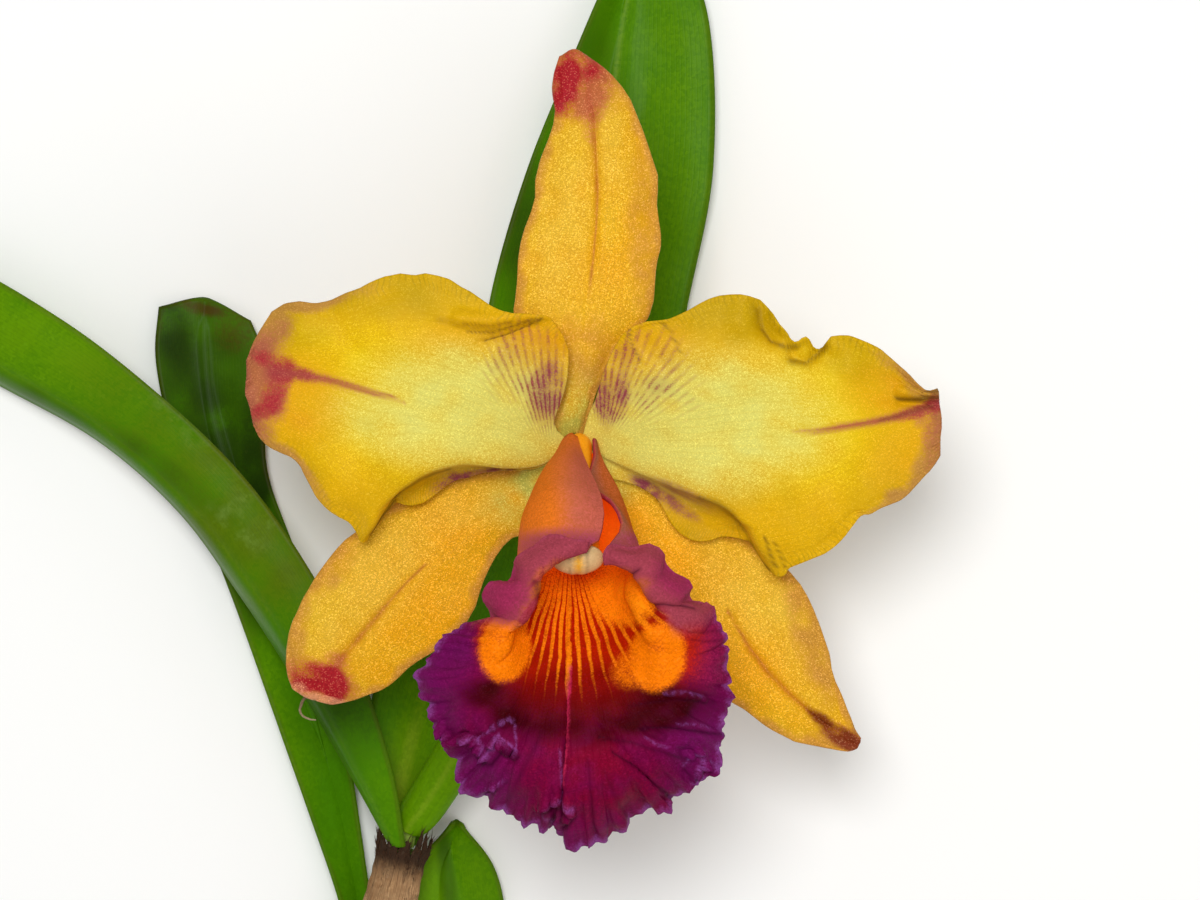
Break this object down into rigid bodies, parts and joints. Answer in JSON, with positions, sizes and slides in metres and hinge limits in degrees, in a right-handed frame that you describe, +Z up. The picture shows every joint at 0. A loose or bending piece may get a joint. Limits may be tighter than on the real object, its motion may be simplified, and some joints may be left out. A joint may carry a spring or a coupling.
{
  "type": "cattleya orchid",
  "caption": "Cut flowering growth of a cattleya orchid laid on its back: gold petals and sepals, a frilled magenta lip, leathery leaves and a ribbed pseudobulb.",
  "frame": {"origin": "on the surface the growth lies on, under the middle of its bounding box", "axes": "+Y from the cut end of the pseudobulb towards the dorsal sepal, +Z up from the surface, the way the bloom faces, +X to the viewer's right as the bloom is looked down on"},
  "size_m": [0.2147, 0.2991, 0.087],
  "materials": {
    "pseudobulb_green": "satin",
    "papery_bract": "matte",
    "leaf_green": "satin",
    "stalk_green": "satin",
    "sepal_amber": "matte",
    "petal_gold": "matte",
    "lip_magenta": "matte",
    "column_orange": "satin",
    "cap_cream": "satin"
  },
  "bodies": {
    "root": {"pseudobulb": "pseudobulb_green", "pseudobulb_bract": "papery_bract", "leaf_top": "leaf_green", "leaf_left": "leaf_green", "leaf_back": "leaf_green", "leaf_low": "leaf_green", "floral_sheath": "leaf_green", "flower_stalk": "stalk_green", "dorsal_sepal": "sepal_amber", "lateral_sepal_left": "sepal_amber", "lateral_sepal_right": "sepal_amber", "petal_left": "petal_gold", "petal_right": "petal_gold", "lip": "lip_magenta", "column": "column_orange", "anther_cap": "cap_cream"}
  },
  "joints": []
}
